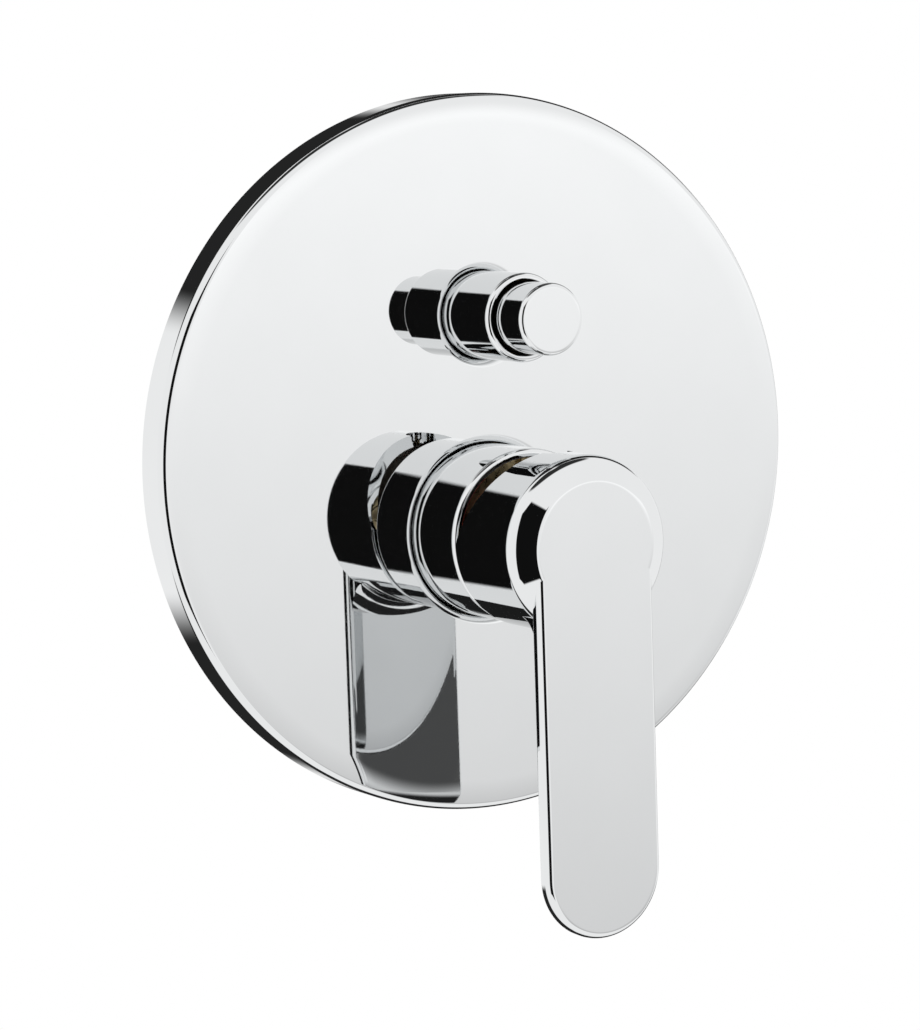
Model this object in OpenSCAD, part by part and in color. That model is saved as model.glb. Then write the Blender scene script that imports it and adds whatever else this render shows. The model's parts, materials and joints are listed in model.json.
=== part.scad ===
// Concealed single-lever shower mixer with a pull diverter, millimetres.
// The fixing face of the lugs lies at y = 0, the room is towards -Y and up is +Z.
// The origin is the centre of the four fixing holes, on the axis of the cover plate.

/* [Wall and cover plate] */
// Distance from the fixing face of the lugs to the finished wall
wall_depth = 60; // [59:0.5:66]
// Diameter of the cover plate
plate_d = 180; // [160:1:210]
// Distance from the wall to the front of the cover plate
plate_depth = 10.5; // [8:0.5:12]
// Thickness of the plate's metal
plate_wall = 1.8; // [1.2:0.1:2.4]
// Rounding of the plate's front edge
plate_edge_r = 2; // [1:0.1:3]
// Width of the foam gasket inside the plate's rim
gasket_w = 9; // [5:0.5:14]
// Height of the diverter axis above the plate's centre
diverter_up = 35; // [34:0.5:42]
// Depth of the lever axis below the plate's centre
lever_down = 19; // [15:0.5:22]

/* [Sleeve] */
// Outer diameter of the sleeve
sleeve_d = 43.6; // [43:0.2:48]
// Length of sleeve that shows in front of the plate
sleeve_show = 20; // [18:0.5:22]
// Length of sleeve that reaches behind the plate's front
sleeve_tail = 6; // [4:0.5:8]
// Thickness of the sleeve's wall
sleeve_wall = 1.5; // [1.2:0.1:1.5]
// Depth of the thicker lip at the sleeve's mouth
sleeve_lip = 3.5; // [2.5:0.5:5]
// Rounding of the sleeve's front edge
sleeve_edge_r = 1.3; // [0.5:0.1:1.4]
// Radius of the hollow sweep from the sleeve's foot into its tube
sleeve_sweep_r = 2.35; // [1:0.05:3]
// Thickness of the sleeve's foot at its outer edge
sleeve_foot_h = 0.25; // [0.2:0.05:1.2]

/* [Lever] */
// Distance from the plate's front to the flat front of the lever
lever_show = 50.2; // [48:0.2:56]
// Outer diameter of the lever's head
head_d = 44.2; // [43:0.2:48]
// Gap between the sleeve's mouth and the rim of the lever's head
head_gap = 1.2; // [1:0.1:2]
// Wall of the hollow head
head_wall = 2.8; // [2:0.1:3.2]
// Thickness of metal left at the front of the head
head_front = 7.5; // [7:0.5:9]
// Rounding between the head's wall and its bevel
head_edge_r = 3.6; // [1.5:0.1:4]
// Slope of the bevel around the flat front
bevel_deg = 30; // [20:1:35]
// Rounding between the bevel and the flat front
flat_edge_r = 2.5; // [0.5:0.1:3]
// Slope of the cut that lets the head tip back towards the sleeve
wedge_deg = 28; // [26:0.5:32]
// Width of the notch in the rim for a hex key
notch_w = 7; // [5:0.5:9]
// Distance from the lever's axis to the tip of its blade
blade_len = 95.5; // [70:0.5:120]
// Width of the blade
blade_w = 32.5; // [26:0.5:34]
// Thickness of the blade
blade_t = 3.8; // [3.5:0.1:5]
// Rounding of the blade's front edges
blade_front_r = 1.9; // [0.8:0.1:2]
// Rounding of the blade's back edges
blade_back_r = 0.8; // [0.4:0.1:1.2]
// Hollow fillet between the head's wall and the back of the blade
root_r = 7; // [4:0.5:9]
// Diameter of the hub that grips the spindle
hub_d = 17; // [15:0.5:18]
// Distance from the rim of the lever's head to the end of its hub
hub_in = 6; // [5.5:0.1:6]
// Depth of the hub's square socket
socket_depth = 14; // [10:0.5:15]
// Distance from the end of the hub to its set screw
set_screw_in = 7; // [5:0.5:7.5]
// Diameter of the lever's set screw
set_screw_d = 5; // [4:0.5:6]
// Length of the lever's set screw
set_screw_len = 5; // [4:0.5:6]
// Largest lift of the lever
lift_deg = 24; // [15:1:24]

/* [Diverter] */
// Diameter of the diverter's fixed collar
collar_d = 22; // [21.6:0.2:24]
// Length of collar that shows in front of the plate
collar_show = 21; // [20:0.5:24]
// Thickness of the collar's wall
collar_wall = 1.5; // [1.3:0.1:1.8]
// Radius of the hollow sweep from the collar's foot into its tube
collar_sweep_r = 2.7; // [1:0.05:3]
// Thickness of the collar's foot at its outer edge
collar_foot_h = 1.2; // [0.2:0.05:1.5]
// Rounding of the collar's front edge
collar_edge_r = 1.2; // [0.5:0.1:1.3]
// Gap all round between the pull knob and the bore of the collar
knob_gap = 0.65; // [0.3:0.05:1]
// Length of the pull knob that shows in front of the collar
knob_show = 12.3; // [9:0.1:16]
// Length of the pull knob inside the collar
knob_in = 9.3; // [9.1:0.1:10]
// Rounding of the knob's front edge
knob_edge_r = 1.2; // [0.5:0.1:2.5]
// Travel of the pull knob
pull_travel = 8; // [6:0.5:9]
// Diameter of the diverter stem
stem_d = 6; // [5:0.5:7]
// Diameter of the diverter's chamber
chamber_d = 18; // [17:0.5:19]
// Diameter of the plunger between the two seats
plunger_d = 15; // [13:0.5:15.5]
// Wire diameter of the return spring
spring_wire = 0.9; // [0.6:0.1:1.1]
// Number of coils in the return spring
spring_coils = 6; // [5:1:8]

/* [Cartridge] */
// Diameter of the cartridge
cartridge_d = 35; // [34:0.5:35]
// Height of the closed base that holds the seals
cartridge_base_h = 6; // [5:0.5:7]
// Thickness of each ceramic disc
disc_t = 3.5; // [3:0.1:4]
// Diameter of the sliding ceramic disc
moving_disc_d = 22.8; // [20:0.2:22.8]
// Distance from the pivot pin back to the centre of the spindle's ball
ball_arm = 9; // [8:0.5:9]
// Diameter of the ball at the back of the spindle
ball_d = 7.8; // [7:0.1:7.8]
// Width across the spindle's square
spindle_w = 8; // [7:0.1:8]
// Diameter of the pivot pin
pin_d = 3; // [2.5:0.1:3.5]
// Diameter of the turret's neck
turret_neck_d = 20.6; // [20:0.2:21]
// Distance from the sleeve's mouth back to the pivot pin
pivot_in = 7; // [6.5:0.5:7]
// Width of the housing's dome round the turret's neck
dome_w = 3.7; // [3.4:0.1:3.8]
// Length of the nut's threaded skirt
nut_skirt = 12; // [9:0.5:13]
// Thickness of the nut's lip over the cartridge's shoulder
nut_lip = 3.5; // [3.2:0.1:3.6]

/* [Valve body] */
// Depth of the four pipe ports' axes from the fixing face
port_axis = 24; // [23:0.5:26]
// Bore of the half-inch pipe threads
port_bore_d = 18.6; // [18:0.1:19]
// Length of the threaded bores
port_len = 14; // [12:0.5:16]
// Width across the flats of the pipe bosses
port_flats = 31; // [28:0.5:32]
// Distance from the middle to the mouth of each inlet
inlet_reach = 50; // [47:0.5:60]
// Height of the upper outlet's mouth above the plate's centre
top_reach = 76; // [75:0.5:90]
// Depth of the lower outlet's mouth below the plate's centre
bottom_reach = 70; // [68:0.5:85]
// Diameter of the cartridge casting
bowl_d = 50; // [46:0.5:54]
// Diameter of the diverter casting
tower_d = 32; // [30:0.5:34]
// Distance between the fixing holes sideways
fix_x = 70; // [66:1:84]
// Distance between the fixing holes upwards
fix_z = 92; // [88:1:110]
// Diameter of the fixing holes
fix_hole_d = 5.5; // [4:0.1:6.5]
// Thickness of the fixing straps
strap_t = 6; // [4:0.5:7]
// Width of the fixing straps
strap_w = 16; // [13:0.5:18]

/* [Hidden] */
$fn = 96;

// Clearances
touch = 0.05;      // between pieces that rest on each other
slip = 0.2;        // between pieces that slide together by hand
running = 0.08;    // between a turning neck and its bearing
free = 0.3;        // between moving pieces that never meet
root_inset = 0.4;  // from the blade's back rounding to the side of its root
eps = 0.01;
over = 1;          // reach of a cut or a join past a face

// Colours
chrome = "gainsboro";
brass = "goldenrod";
rubber = [0.12, 0.12, 0.13];
plastic = "whitesmoke";
ceramic = "ivory";

// Depths in front of the fixing face
wall_u = wall_depth;
face_u = wall_u + plate_depth;
plate_back_u = face_u - plate_wall;
sleeve_u = face_u + sleeve_show;
flat_u = face_u + lever_show;
rim_u = sleeve_u + head_gap;
pivot_u = sleeve_u - pivot_in;
lever_z = -lever_down;
diverter_z = diverter_up;
plate_r = plate_d / 2;
sleeve_r = sleeve_d / 2;
head_r = head_d / 2;
collar_r = collar_d / 2;

// Cartridge stack, from the ball forwards and backwards
ball_u = pivot_u - ball_arm;
ball_r = ball_d / 2;
ball_side_gap = 0.4;
ball_back_gap = 0.6;
socket_rise = 2.5;
socket_floor_t = 1.5;
socket_wall_x = 1.9;
socket_wall_z = 2.7;
socket_r = ball_r + ball_side_gap;
boss_top_u = ball_u + socket_rise;
socket_floor_u = ball_u - ball_r - ball_back_gap;
carrier_top_u = socket_floor_u - socket_floor_t;
carrier_t = 4.5;
carrier_u = carrier_top_u - carrier_t;
moving_u = carrier_u - disc_t;
fixed_u = moving_u - touch - disc_t;
base_u = fixed_u - cartridge_base_h;
housing_wall = 2;
housing_u = base_u + cartridge_base_h - housing_wall;
housing_r = cartridge_d / 2;
housing_bore_r = housing_r - housing_wall;
neck_r = turret_neck_d / 2;
turret_u = carrier_top_u + free;
shoulder_in = 5;
shoulder_t = 2;
shoulder_w = 1.1;
shoulder_u = pivot_u - shoulder_in;
shoulder_r = housing_r + shoulder_w;
dome_h = 3;
dome_u = shoulder_u + shoulder_t;
dome_top_u = dome_u + dome_h;
dome_r = neck_r + dome_w;
cap_in = 0.4;
cap_u = shoulder_u + cap_in;
cheek_h = 6.5;
turret_top_u = pivot_u + cheek_h;
carrier_travel = ball_arm * sin(lift_deg);
boss_half_x = socket_r + socket_wall_x;
boss_half_z = socket_r + socket_wall_z;
hub_u = rim_u + hub_in;
spindle_u = hub_u + socket_depth;

// Ports through the base, the fixed disc and the floor of the casting
inlet_x = 6.2;
inlet_z = -4.5;
inlet_r = 2.8;
outlet_z = 6.5;
outlet_r = 3.6;
seal_w = 1.2;
seal_h = 1.2;

// Casting
floor_u = base_u - touch;
nut_wall = 3;
neck_out_r = sleeve_r - nut_wall;
mouth_u = shoulder_u - touch;
bowl_r = bowl_d / 2;
bowl_back = 3;
bowl_top_u = wall_u - bowl_back;
tower_r = tower_d / 2;
tower_back = 4;
tower_top_u = wall_u - tower_back;
cast_back_u = 4;
web_half = tower_r;
web_back = 3;
duct_r = 4;
duct_back_u = 11;
side_duct_r = 3;
side_duct_x = 10;
rib_wall = 2.5;
chamber_r = chamber_d / 2;
waterway_r = 6;
port_r = port_bore_d / 2;
boss_r = port_flats / 2;
octagon_r = boss_r / cos(22.5);
octagon_len = 12;
seat_w = 2.5;
port_floor = 2;
port_step = 5;
bonnet_seal_w = 2;

// Diverter, from the rear seat forwards
stem_r = stem_d / 2;
rear_seat_u = 22;
washer_t = 2;
plunger_len = 7;
plunger_u = rear_seat_u + touch + washer_t;
plunger_r = plunger_d / 2;
front_seat_u = plunger_u + plunger_len + washer_t + pull_travel + touch;
bonnet_r = chamber_r - touch;
window_r = 2.3;
window_in = 2.5;
window_u = front_seat_u + window_in + window_r;
spring_seat_in = 1.5;
spring_seat_u = window_u + window_r + spring_seat_in;
spring_r = stem_r + 1 + spring_wire;
bonnet_bore_r = spring_r + spring_wire;
collar_bore_r = collar_r - collar_wall;
bonnet_tube_r = collar_bore_r - touch;
hex_flats = 24;
hex_t = 5;
hex_u = tower_top_u;
bonnet_seal_t = 1;
stem_seal_in = 2;
stem_seal_u = face_u - stem_seal_in;
collar_u = face_u + collar_show;
knob_u = collar_u - knob_in;
knob_front_u = collar_u + knob_show;
knob_r = collar_bore_r - knob_gap;
bonnet_top_u = knob_u - free;
stem_thread_r = stem_r - 0.5;
stem_tail_r = stem_r - 1;
stem_end_t = 1;
stem_thread_len = 12;

// Nut
nut_r = sleeve_r - sleeve_wall - slip;
nut_u = shoulder_u - nut_skirt;
nut_top_u = dome_u + nut_lip;
nut_hole_gap = 0.5;
nut_hole_r = dome_r + nut_hole_gap;
seal_groove_in = 1.3;
seal_groove_u = dome_u + seal_groove_in;
seal_r = 0.7;
seal_mid_r = sleeve_r - sleeve_wall - seal_r - touch;

// Lever
hub_r = hub_d / 2;
cavity_u = flat_u - head_front;
blade_back_u = flat_u - blade_t;
blade_half = blade_w / 2;
cone_x = head_r - head_edge_r * (1 - sin(bevel_deg));
cone_rise = (cone_x - blade_half) * tan(bevel_deg);
edge_u = flat_u - cone_rise - head_edge_r * cos(bevel_deg);
flat_tangent = flat_edge_r * tan(bevel_deg / 2);
set_screw_u = hub_u + set_screw_in;

// A frame on one of the two axes: X to the right, Y upwards, Z to the front
module on_axis(height) {
    translate([0, 0, height]) rotate([90, 0, 0]) children();
}

// A piece turned about one of the two axes, from a radius and depth outline
module turned(height) {
    on_axis(height) rotate_extrude() children();
}

// A rectangle of an outline, from radius and depth limits
module band(r1, r2, u1, u2) {
    translate([r1, u1]) square([r2 - r1, u2 - u1]);
}

// A slice of a disc about a place, between two angles less than 180 degrees apart
module slice(x, u, r, from, to) {
    middle = (from + to) / 2;
    translate([x, u]) intersection() {
        circle(r);
        polygon([
            [0, 0],
            [2 * r * cos(from), 2 * r * sin(from)],
            [3 * r * cos(middle), 3 * r * sin(middle)],
            [2 * r * cos(to), 2 * r * sin(to)]
        ]);
    }
}

// A tube's outline with its front outer edge rounded
module rounded_band(r1, r2, u1, u2, edge) {
    polygon([
        [r1, u1],
        [r2, u1],
        [r2, u2 - edge],
        [r2 - edge, u2],
        [r1, u2]
    ]);
    slice(r2 - edge, u2 - edge, edge, 0, 90);
}

// The foot at the plate: a thin edge and a hollow sweep into the tube
module foot_outline(tube_r, sweep_r, edge_h) {
    root_w = 0.5;
    sweep_u = face_u + edge_h + sweep_r;
    difference() {
        band(tube_r - root_w, tube_r + sweep_r, face_u + touch, sweep_u);
        translate([tube_r + sweep_r, sweep_u]) circle(sweep_r);
    }
}

// Rod along the frame's X, Y or Z from one place to another
module rod_x(r, x1, x2, y, z) {
    translate([x1, y, z]) rotate([0, 90, 0]) cylinder(r = r, h = x2 - x1);
}
module rod_y(r, y1, y2, x, z) {
    translate([x, y1, z]) rotate([-90, 0, 0]) cylinder(r = r, h = y2 - y1);
}
module rod_z(r, z1, z2, x, y) {
    translate([x, y, z1]) cylinder(r = r, h = z2 - z1);
}

// The three water ports of the cartridge, on its own axis
module port_holes(grow, z1, z2) {
    for (side = [-1, 1]) rod_z(inlet_r + grow, z1, z2, side * inlet_x, inlet_z);
    rod_z(outlet_r + grow, z1, z2, 0, outlet_z);
}

// Octagonal end of a pipe boss, with its flats square to the frame
module octagon_end(len) {
    rotate([0, 0, 22.5]) cylinder(r = octagon_r, h = len, $fn = 8);
}

module fixing_strap(height) {
    translate([-fix_x / 2, height - strap_w / 2, 0]) cube([fix_x, strap_w, strap_t]);
    for (side = [-1, 1]) rod_z(strap_w / 2, 0, strap_t, side * fix_x / 2, height);
}

module casting() {
    rod_z(bowl_r, cast_back_u, bowl_top_u, 0, lever_z);
    rod_z(neck_out_r, bowl_top_u - over, mouth_u, 0, lever_z);
    rod_z(tower_r, cast_back_u, tower_top_u, 0, diverter_z);
    translate([-web_half, lever_z, cast_back_u])
        cube([2 * web_half, diverter_z - lever_z, tower_top_u - cast_back_u - web_back]);
    rod_x(boss_r, -inlet_reach, inlet_reach, lever_z, port_axis);
    rod_y(boss_r, -bottom_reach, top_reach, 0, port_axis);
    for (side = [-1, 1])
        translate([side * inlet_reach, lever_z, port_axis]) rotate([0, -side * 90, 0])
            octagon_end(octagon_len);
    translate([0, top_reach, port_axis]) rotate([90, 0, 0]) octagon_end(octagon_len);
    translate([0, -bottom_reach, port_axis]) rotate([-90, 0, 0]) octagon_end(octagon_len);
    rod_y(duct_r + rib_wall, diverter_z, top_reach - port_len, 0, duct_back_u);
    rod_y(side_duct_r + rib_wall, -bottom_reach + port_len, diverter_z, side_duct_x, duct_back_u);
    for (height = [-fix_z / 2, fix_z / 2]) fixing_strap(height);
}

// Hot and cold water from the side ports to the cartridge's floor
module inlet_ways() {
    wall_half = 3;
    for (side = [-1, 1]) {
        translate([side * inlet_reach, lever_z, port_axis]) rotate([0, -side * 90, 0]) {
            rod_z(port_r, -eps, port_len, 0, 0);
            rod_z(waterway_r, over, inlet_reach - wall_half, 0, 0);
        }
        rod_z(inlet_r, port_axis, floor_u + over, side * inlet_x, lever_z + inlet_z);
    }
}

// Mixed water from the cartridge up to the middle of the diverter's chamber
module mixed_way() {
    mixed_u = plunger_u + (plunger_len + pull_travel) / 2;
    rod_z(outlet_r, mixed_u, floor_u + over, 0, lever_z + outlet_z);
    rod_y(duct_r, lever_z + outlet_z, diverter_z, 0, mixed_u);
}

// From the rear seat up to the shower, and from the front seat down to the bath
module outlet_ways() {
    seat_r = plunger_r - seat_w;
    top_z = top_reach - port_len;
    bottom_z = -bottom_reach + port_len;
    side_z = diverter_z - chamber_r - over;
    rod_z(seat_r, duct_back_u, rear_seat_u + over, 0, diverter_z);
    rod_y(duct_r, diverter_z, top_z - port_floor, 0, duct_back_u);
    rod_z(duct_r, duct_back_u, port_axis, 0, top_z - port_floor);
    rod_y(port_r, top_z, top_reach + eps, 0, port_axis);
    rod_y(waterway_r, top_z - port_step, top_reach - over, 0, port_axis);
    rod_y(window_r, side_z, diverter_z, 0, window_u);
    rod_x(side_duct_r, 0, side_duct_x, side_z, window_u);
    rod_z(side_duct_r, duct_back_u, window_u, side_duct_x, side_z);
    rod_y(side_duct_r, bottom_z + port_floor, side_z, side_duct_x, duct_back_u);
    rod_x(side_duct_r, 0, side_duct_x, bottom_z + port_floor, duct_back_u);
    rod_z(side_duct_r, duct_back_u, port_axis, 0, bottom_z + port_floor);
    rod_y(port_r, -bottom_reach - eps, bottom_z, 0, port_axis);
    rod_y(waterway_r, -bottom_reach + over, bottom_z + port_step, 0, port_axis);
}

// One brass casting with its chambers, waterways, pipe threads' bores and straps
module valve_body() {
    color(brass) on_axis(0) difference() {
        casting();
        rod_z(housing_r + slip / 2, floor_u, mouth_u + eps, 0, lever_z);
        rod_z(chamber_r, rear_seat_u, tower_top_u + eps, 0, diverter_z);
        rod_z(bonnet_r + bonnet_seal_w + touch, tower_top_u - bonnet_seal_t, tower_top_u + eps,
            0, diverter_z);
        inlet_ways();
        mixed_way();
        outlet_ways();
        for (x = [-fix_x / 2, fix_x / 2], z = [-fix_z / 2, fix_z / 2])
            rod_z(fix_hole_d / 2, -eps, strap_t + eps, x, z);
    }
}

module cartridge_base() {
    color(plastic) on_axis(lever_z) difference() {
        union() {
            rod_z(housing_r, base_u, housing_u, 0, 0);
            rod_z(housing_bore_r - slip, housing_u - eps, fixed_u - touch, 0, 0);
        }
        port_holes(0, base_u - eps, fixed_u + eps);
        port_holes(seal_w, base_u - eps, base_u + seal_h);
        port_holes(seal_w, fixed_u - touch - seal_h, fixed_u + eps);
    }
}

// Three short rubber tubes, one round each port
module port_seals(z1) {
    on_axis(lever_z) difference() {
        port_holes(seal_w - touch, z1, z1 + seal_h);
        port_holes(free, z1 - eps, z1 + seal_h + eps);
    }
}

module base_seals() {
    color(rubber) port_seals(base_u - touch);
}

module disc_seals() {
    color(rubber) port_seals(fixed_u - touch - seal_h);
}

module fixed_disc() {
    color(ceramic) on_axis(lever_z) difference() {
        rod_z(housing_bore_r - slip, fixed_u, fixed_u + disc_t, 0, 0);
        port_holes(0, fixed_u - eps, fixed_u + disc_t + eps);
    }
}

// Sliding disc with the blind hollow that joins the open inlets to the outlet
module moving_disc() {
    hollow_top_u = moving_u + disc_t / 2;
    hollow_r = outlet_r + 1.9;
    hollow_z = outlet_z - 2;
    wing_r = inlet_r + 0.4;
    wing_x = inlet_x - 1;
    wing_z = inlet_z + 7.1;
    color(ceramic) on_axis(lever_z) difference() {
        rod_z(moving_disc_d / 2, moving_u, moving_u + disc_t, 0, 0);
        rod_z(hollow_r, moving_u - eps, hollow_top_u, 0, hollow_z);
        for (side = [-1, 1]) rod_z(wing_r, moving_u - eps, hollow_top_u, side * wing_x, wing_z);
    }
}

// Carrier that grips the sliding disc and takes the spindle's ball in its socket
module disc_carrier() {
    color(plastic) on_axis(lever_z) difference() {
        union() {
            rod_z(moving_disc_d / 2, carrier_u, carrier_top_u, 0, 0);
            translate([-boss_half_x, -boss_half_z, carrier_top_u - eps])
                cube([2 * boss_half_x, 2 * boss_half_z, boss_top_u - carrier_top_u]);
        }
        rod_z(socket_r, socket_floor_u, boss_top_u + eps, 0, 0);
    }
}

// Turning insert: a flange under the housing's roof and a neck of two cheeks
module turret() {
    slot_half_x = spindle_w / 2 + slip;
    slot_half_z = 8.4;
    room_in = 0.8;
    pin_press = 0.02;
    room_top_u = cap_u + room_in;
    room_half_z = boss_half_z + carrier_travel + free;
    color(plastic) on_axis(lever_z) difference() {
        union() {
            rod_z(housing_bore_r - slip, turret_u, cap_u - touch, 0, 0);
            rod_z(neck_r, cap_u - touch - eps, turret_top_u, 0, 0);
        }
        translate([-boss_half_x - free, -room_half_z, turret_u - eps])
            cube([2 * (boss_half_x + free), boss_half_z + room_half_z + free, room_top_u - turret_u]);
        translate([-slot_half_x, -slot_half_z, turret_u])
            cube([2 * slot_half_x, 2 * slot_half_z, turret_top_u - turret_u + eps]);
        rod_x(pin_d / 2 + pin_press, -neck_r - over, neck_r + over, 0, pivot_u);
    }
}

module pivot_pin() {
    pin_in = 0.6;
    pin_half = neck_r - pin_in;
    color("silver") on_axis(lever_z) rod_x(pin_d / 2, -pin_half, pin_half, 0, pivot_u);
}

// Square bar with the pivot's eye, a waist and a ball
module spindle() {
    half = spindle_w / 2;
    bar_back = 3;
    waist = 0.66;
    pin_fit = 0.06;
    bar_u = pivot_u - bar_back;
    color("silver") on_axis(lever_z) difference() {
        union() {
            translate([-half, -half, bar_u]) cube([spindle_w, spindle_w, spindle_u - bar_u]);
            rod_z(ball_r * waist, ball_u, bar_u + over, 0, 0);
            translate([0, 0, ball_u]) sphere(ball_r);
        }
        rod_x(pin_d / 2 + pin_fit, -half - over, half + over, 0, pivot_u);
    }
}

module cartridge_housing() {
    color(plastic) turned(lever_z) difference() {
        union() {
            band(neck_r + running, housing_r, housing_u, shoulder_u);
            band(neck_r + running, shoulder_r, shoulder_u, dome_u);
            band(neck_r + running, dome_r, dome_u - eps, dome_top_u);
        }
        band(0, housing_bore_r, housing_u - eps, cap_u);
    }
}

// Temperature stop ring: a toothed ring on the housing's dome
module limit_ring() {
    ring_gap = 0.5;
    ring_h = 2.4;
    tooth_count = 12;
    tooth_w = 1.6;
    tooth_h = 1.2;
    color("orangered") on_axis(lever_z) difference() {
        rod_z(dome_r, dome_top_u + touch, dome_top_u + ring_h, 0, 0);
        rod_z(neck_r + ring_gap, dome_top_u, dome_top_u + ring_h + over, 0, 0);
        for (k = [0 : tooth_count - 1]) rotate([0, 0, k * 360 / tooth_count])
            translate([dome_r - over, -tooth_w / 2, dome_top_u + ring_h - tooth_h])
                cube([2 * over, tooth_w, tooth_h + over]);
    }
}

// Retaining nut: threaded skirt, lip over the cartridge's shoulder, key slots, seal groove
module cartridge_nut() {
    slot_w = 4;
    slot_h = 1.5;
    color(brass) on_axis(lever_z) difference() {
        rotate_extrude() difference() {
            union() {
                band(neck_out_r + touch, nut_r, nut_u, shoulder_u);
                band(shoulder_r + touch, nut_r, shoulder_u - eps, dome_u + touch);
                band(nut_hole_r, nut_r, dome_u + touch - eps, nut_top_u);
            }
            translate([seal_mid_r - seal_r - touch, seal_groove_u - seal_r - slip / 2])
                square([3 * seal_r, 2 * seal_r + slip]);
        }
        for (turn = [0, 90]) rotate([0, 0, turn])
            translate([-slot_w / 2, -nut_r - over, nut_top_u - slot_h])
                cube([slot_w, 2 * (nut_r + over), slot_h + over]);
    }
}

module sleeve_seal() {
    color(rubber) turned(lever_z)
        translate([seal_mid_r, seal_groove_u]) circle(seal_r);
}

// Chromed sleeve with a foot on the plate and a thicker lip at its mouth
module sleeve() {
    bore_r = sleeve_r - sleeve_wall;
    lip_w = 0.7;
    lip_in = 0.3;
    color(chrome) turned(lever_z) {
        rounded_band(bore_r, sleeve_r, face_u - sleeve_tail, sleeve_u, sleeve_edge_r);
        band(bore_r - lip_w, bore_r + eps, sleeve_u - sleeve_lip, sleeve_u - lip_in);
        foot_outline(sleeve_r, sleeve_sweep_r, sleeve_foot_h);
    }
}

module hole_washer(height, r) {
    rubber_w = 4;
    rubber_t = 1.8;
    color(rubber) turned(height)
        band(r + touch, r + rubber_w, plate_back_u - touch - rubber_t, plate_back_u - touch);
}

module sleeve_washer() {
    hole_washer(lever_z, sleeve_r);
}

module collar_washer() {
    hole_washer(diverter_z, collar_r);
}

// Pressed plate with a deep rim and two holes
module face_plate() {
    hole_gap = 0.25;
    color(chrome) difference() {
        turned(0) difference() {
            rounded_band(0, plate_r, wall_u, face_u, plate_edge_r);
            band(-eps, plate_r - plate_wall, wall_u - eps, plate_back_u);
        }
        on_axis(lever_z) rod_z(sleeve_r + hole_gap, wall_u, face_u + over, 0, 0);
        on_axis(diverter_z) rod_z(collar_r + hole_gap, wall_u, face_u + over, 0, 0);
    }
}

module plate_gasket() {
    gasket_gap = 0.5;
    gasket_r = plate_r - plate_wall - gasket_gap;
    color([0.2, 0.2, 0.21]) turned(0)
        band(gasket_r - gasket_w, gasket_r, wall_u, plate_back_u - touch);
}

// Outline of the lever's head: wall, rounded edge, bevel and flat front
module head_outline() {
    edge_x = head_r - head_edge_r;
    flat_x = blade_half - flat_tangent;
    flat_edge_u = flat_u - flat_edge_r;
    band(0, head_r, rim_u, edge_u);
    translate([edge_x, edge_u]) circle(head_edge_r);
    translate([flat_x, flat_edge_u]) circle(flat_edge_r);
    polygon([
        [0, edge_u - over],
        [edge_x, edge_u - over],
        [edge_x, edge_u],
        [cone_x, edge_u + head_edge_r * cos(bevel_deg)],
        [flat_x + flat_edge_r * sin(bevel_deg), flat_edge_u + flat_edge_r * cos(bevel_deg)],
        [flat_x, flat_u],
        [0, flat_u]
    ]);
}

// Section of the blade, from its back at zero to its front
module blade_section() {
    for (side = [0, 1]) mirror([side, 0]) blade_half_section();
}

module blade_half_section() {
    back = blade_back_r;
    front_x = blade_half - blade_front_r;
    front_u = blade_t - blade_front_r;
    polygon([
        [0, 0],
        [blade_half - back, 0],
        [blade_half, back],
        [blade_half, front_u],
        [front_x, blade_t],
        [0, blade_t]
    ]);
    slice(blade_half - back, back, back, -90, 0);
    slice(front_x, front_u, blade_front_r, 0, 90);
}

module blade() {
    straight = blade_len - blade_half;
    translate([0, 0, blade_back_u]) {
        rotate([90, 0, 0]) linear_extrude(straight) blade_section();
        translate([0, -straight, 0]) rotate([0, 0, 180]) rotate_extrude(angle = 180)
            blade_half_section();
    }
}

// Hollow fillet that sweeps from the head's wall to the back of the blade
module blade_root() {
    root_half = blade_half - blade_back_r - root_inset;
    intersection() {
        rotate_extrude() difference() {
            band(head_r - over, head_r + root_r, blade_back_u - root_r, blade_back_u + over / 2);
            translate([head_r + root_r, blade_back_u - root_r]) circle(root_r);
        }
        translate([-root_half, -head_r - 2 * root_r, blade_back_u - 2 * root_r])
            cube([2 * root_half, head_r + 2 * root_r, 3 * root_r]);
    }
}

// Cut that slopes the upper half of the head's rim away from the sleeve
module wedge_cut() {
    reach = 1.5 * head_r;
    rotate([90, 0, 90]) translate([0, 0, -reach]) linear_extrude(2 * reach)
        polygon([
            [0, rim_u],
            [reach, rim_u + reach * tan(wedge_deg)],
            [reach, rim_u - over],
            [0, rim_u - over]
        ]);
}

// One-piece lever: hollow cylindrical head, flat blade, hub with a square socket
module lever() {
    notch_r = notch_w / 2;
    socket_half = spindle_w / 2 + touch;
    reach = 1.2 * head_r;
    color(chrome) on_axis(lever_z) difference() {
        union() {
            difference() {
                union() {
                    rotate_extrude() head_outline();
                    blade();
                    blade_root();
                }
                rod_z(head_r - head_wall, rim_u - over, cavity_u, 0, 0);
                wedge_cut();
                translate([-notch_r, 0, rim_u]) cube([notch_w, reach, set_screw_u - rim_u]);
                rod_y(notch_r, 0, reach, 0, set_screw_u);
            }
            rod_z(hub_r, hub_u, cavity_u + eps, 0, 0);
        }
        translate([-socket_half, -socket_half, hub_u - eps])
            cube([2 * socket_half, 2 * socket_half, socket_depth + touch]);
        rod_y(set_screw_d / 2 + touch, 0, hub_r + over, 0, set_screw_u);
    }
}

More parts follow.
